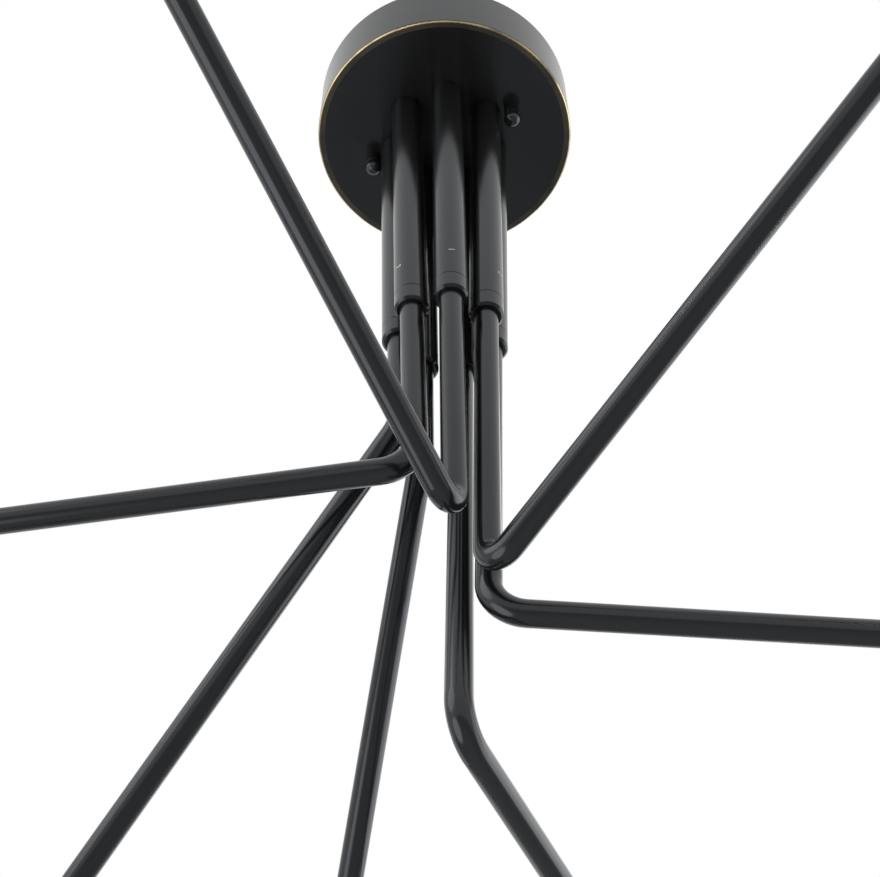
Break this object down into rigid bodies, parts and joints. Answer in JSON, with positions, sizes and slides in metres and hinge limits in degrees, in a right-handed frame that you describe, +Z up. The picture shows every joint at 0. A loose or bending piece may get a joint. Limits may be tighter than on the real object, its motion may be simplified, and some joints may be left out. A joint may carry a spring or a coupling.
{
  "type": "sputnik chandelier",
  "caption": "Sputnik chandelier: round ceiling canopy, a close bundle of sleeved stems, and bent tube arms that swivel, each with a cup and a globe lamp.",
  "frame": {"origin": "on the ceiling plane, in the middle of the canopy, on the upper face of the mounting bar", "axes": "+Z up, +X along the mounting bar, -Y towards the side from which the picture was taken (about 21 degrees off)"},
  "size_m": [0.9531, 0.9551, 0.6893],
  "materials": {
    "dark_bronze": "semi-gloss dark bronze coating",
    "zinc_steel": "zinc plated",
    "brass": "satin",
    "nylon": "natural nylon",
    "block_plastic": "moulded, white",
    "holder_plastic": "moulded, black",
    "lamp_cap": "rolled, satin",
    "lamp_glass": "clear blown glass"
  },
  "bodies": {
    "ceiling_frame": {"canopy": "dark_bronze", "crossbar": "zinc_steel", "crossbar_studs": "zinc_steel", "stud_locknuts": "zinc_steel", "ball_nuts": "dark_bronze", "terminal_block": "block_plastic", "terminal_screws": "zinc_steel", "earth_screw": "brass", "sleeve_locknuts": "zinc_steel", "sleeve_lockwashers": "zinc_steel", "friction_washers": "nylon", "sleeve_1": "dark_bronze", "collar_1": "dark_bronze", "sleeve_2": "dark_bronze", "collar_2": "dark_bronze", "sleeve_3": "dark_bronze", "collar_3": "dark_bronze", "sleeve_4": "dark_bronze", "collar_4": "dark_bronze", "sleeve_5": "dark_bronze", "collar_5": "dark_bronze", "sleeve_6": "dark_bronze", "collar_6": "dark_bronze", "sleeve_7": "dark_bronze", "collar_7": "dark_bronze"},
    "arm_body_1": {"arm_1": "dark_bronze", "cup_1": "dark_bronze", "lampholder_1": "holder_plastic", "lamp_cap_1": "lamp_cap", "lamp_glass_1": "lamp_glass"},
    "arm_body_2": {"arm_2": "dark_bronze", "cup_2": "dark_bronze", "lampholder_2": "holder_plastic", "lamp_cap_2": "lamp_cap", "lamp_glass_2": "lamp_glass"},
    "arm_body_3": {"arm_3": "dark_bronze", "cup_3": "dark_bronze", "lampholder_3": "holder_plastic", "lamp_cap_3": "lamp_cap", "lamp_glass_3": "lamp_glass"},
    "arm_body_4": {"arm_4": "dark_bronze", "cup_4": "dark_bronze", "lampholder_4": "holder_plastic", "lamp_cap_4": "lamp_cap", "lamp_glass_4": "lamp_glass"},
    "arm_body_5": {"arm_5": "dark_bronze", "cup_5": "dark_bronze", "lampholder_5": "holder_plastic", "lamp_cap_5": "lamp_cap", "lamp_glass_5": "lamp_glass"},
    "arm_body_6": {"arm_6": "dark_bronze", "cup_6": "dark_bronze", "lampholder_6": "holder_plastic", "lamp_cap_6": "lamp_cap", "lamp_glass_6": "lamp_glass"},
    "arm_body_7": {"arm_7": "dark_bronze", "cup_7": "dark_bronze", "lampholder_7": "holder_plastic", "lamp_cap_7": "lamp_cap", "lamp_glass_7": "lamp_glass"}
  },
  "joints": [
    {"name": "swivel_1", "type": "hinge", "parent": "ceiling_frame", "child": "arm_body_1", "pos_m": [0.0122, -0.02741, -0.042], "axis": [0.0068, -0.0304, 0.9995], "range_deg": [-32, 35]},
    {"name": "swivel_2", "type": "hinge", "parent": "ceiling_frame", "child": "arm_body_2", "pos_m": [0.02904, -0.00755, -0.042], "axis": [0.028, -0.0136, 0.9995], "range_deg": [-30, 30]},
    {"name": "swivel_3", "type": "hinge", "parent": "ceiling_frame", "child": "arm_body_3", "pos_m": [0.02401, 0.018, -0.042], "axis": [0.0281, 0.0134, 0.9995], "range_deg": [-20, 25]},
    {"name": "swivel_4", "type": "hinge", "parent": "ceiling_frame", "child": "arm_body_4", "pos_m": [0.0009, 0.02999, -0.042], "axis": [0.007, 0.0303, 0.9995], "range_deg": [-30, 15]},
    {"name": "swivel_5", "type": "hinge", "parent": "ceiling_frame", "child": "arm_body_5", "pos_m": [-0.02289, 0.0194, -0.042], "axis": [-0.0193, 0.0244, 0.9995], "range_deg": [-20, 12]},
    {"name": "swivel_6", "type": "hinge", "parent": "ceiling_frame", "child": "arm_body_6", "pos_m": [-0.02944, -0.0058, -0.042], "axis": [-0.0311, 0.0001, 0.9995], "range_deg": [-12, 12]},
    {"name": "swivel_7", "type": "hinge", "parent": "ceiling_frame", "child": "arm_body_7", "pos_m": [-0.01382, -0.02663, -0.042], "axis": [-0.0195, -0.0243, 0.9995], "range_deg": [-10, 28]}
  ]
}
